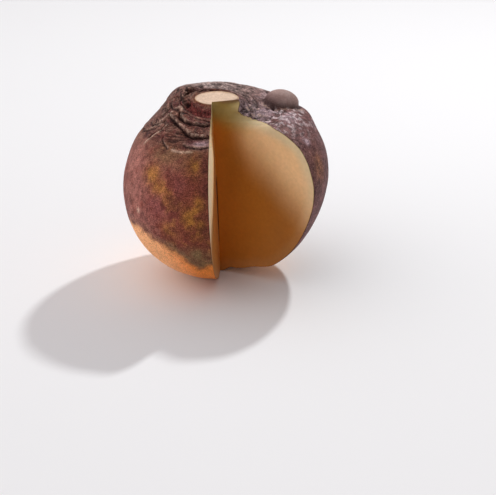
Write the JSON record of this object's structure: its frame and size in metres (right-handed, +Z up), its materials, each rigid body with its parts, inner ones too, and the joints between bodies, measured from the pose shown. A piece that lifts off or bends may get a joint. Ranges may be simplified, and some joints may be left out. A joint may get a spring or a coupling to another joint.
{
  "type": "rutabaga",
  "caption": "Round purple-skinned rutabaga standing on its root end, with a wide wedge-shaped notch cut out to show orange flesh, a trimmed leaf stub and leaf scars on its crown.",
  "frame": {"origin": "centre of the bounding box's footprint, on the surface that the root flat stands on", "axes": "+Z up from the root end to the crown, -Y the side that the notch opens to, +X to the right seen from that side"},
  "size_m": [0.13, 0.1288, 0.1175],
  "materials": {
    "rutabaga": "dull waxy purple and ochre skin, moist orange cut flesh"
  },
  "bodies": {
    "root": {"rutabaga": "rutabaga"}
  },
  "joints": []
}
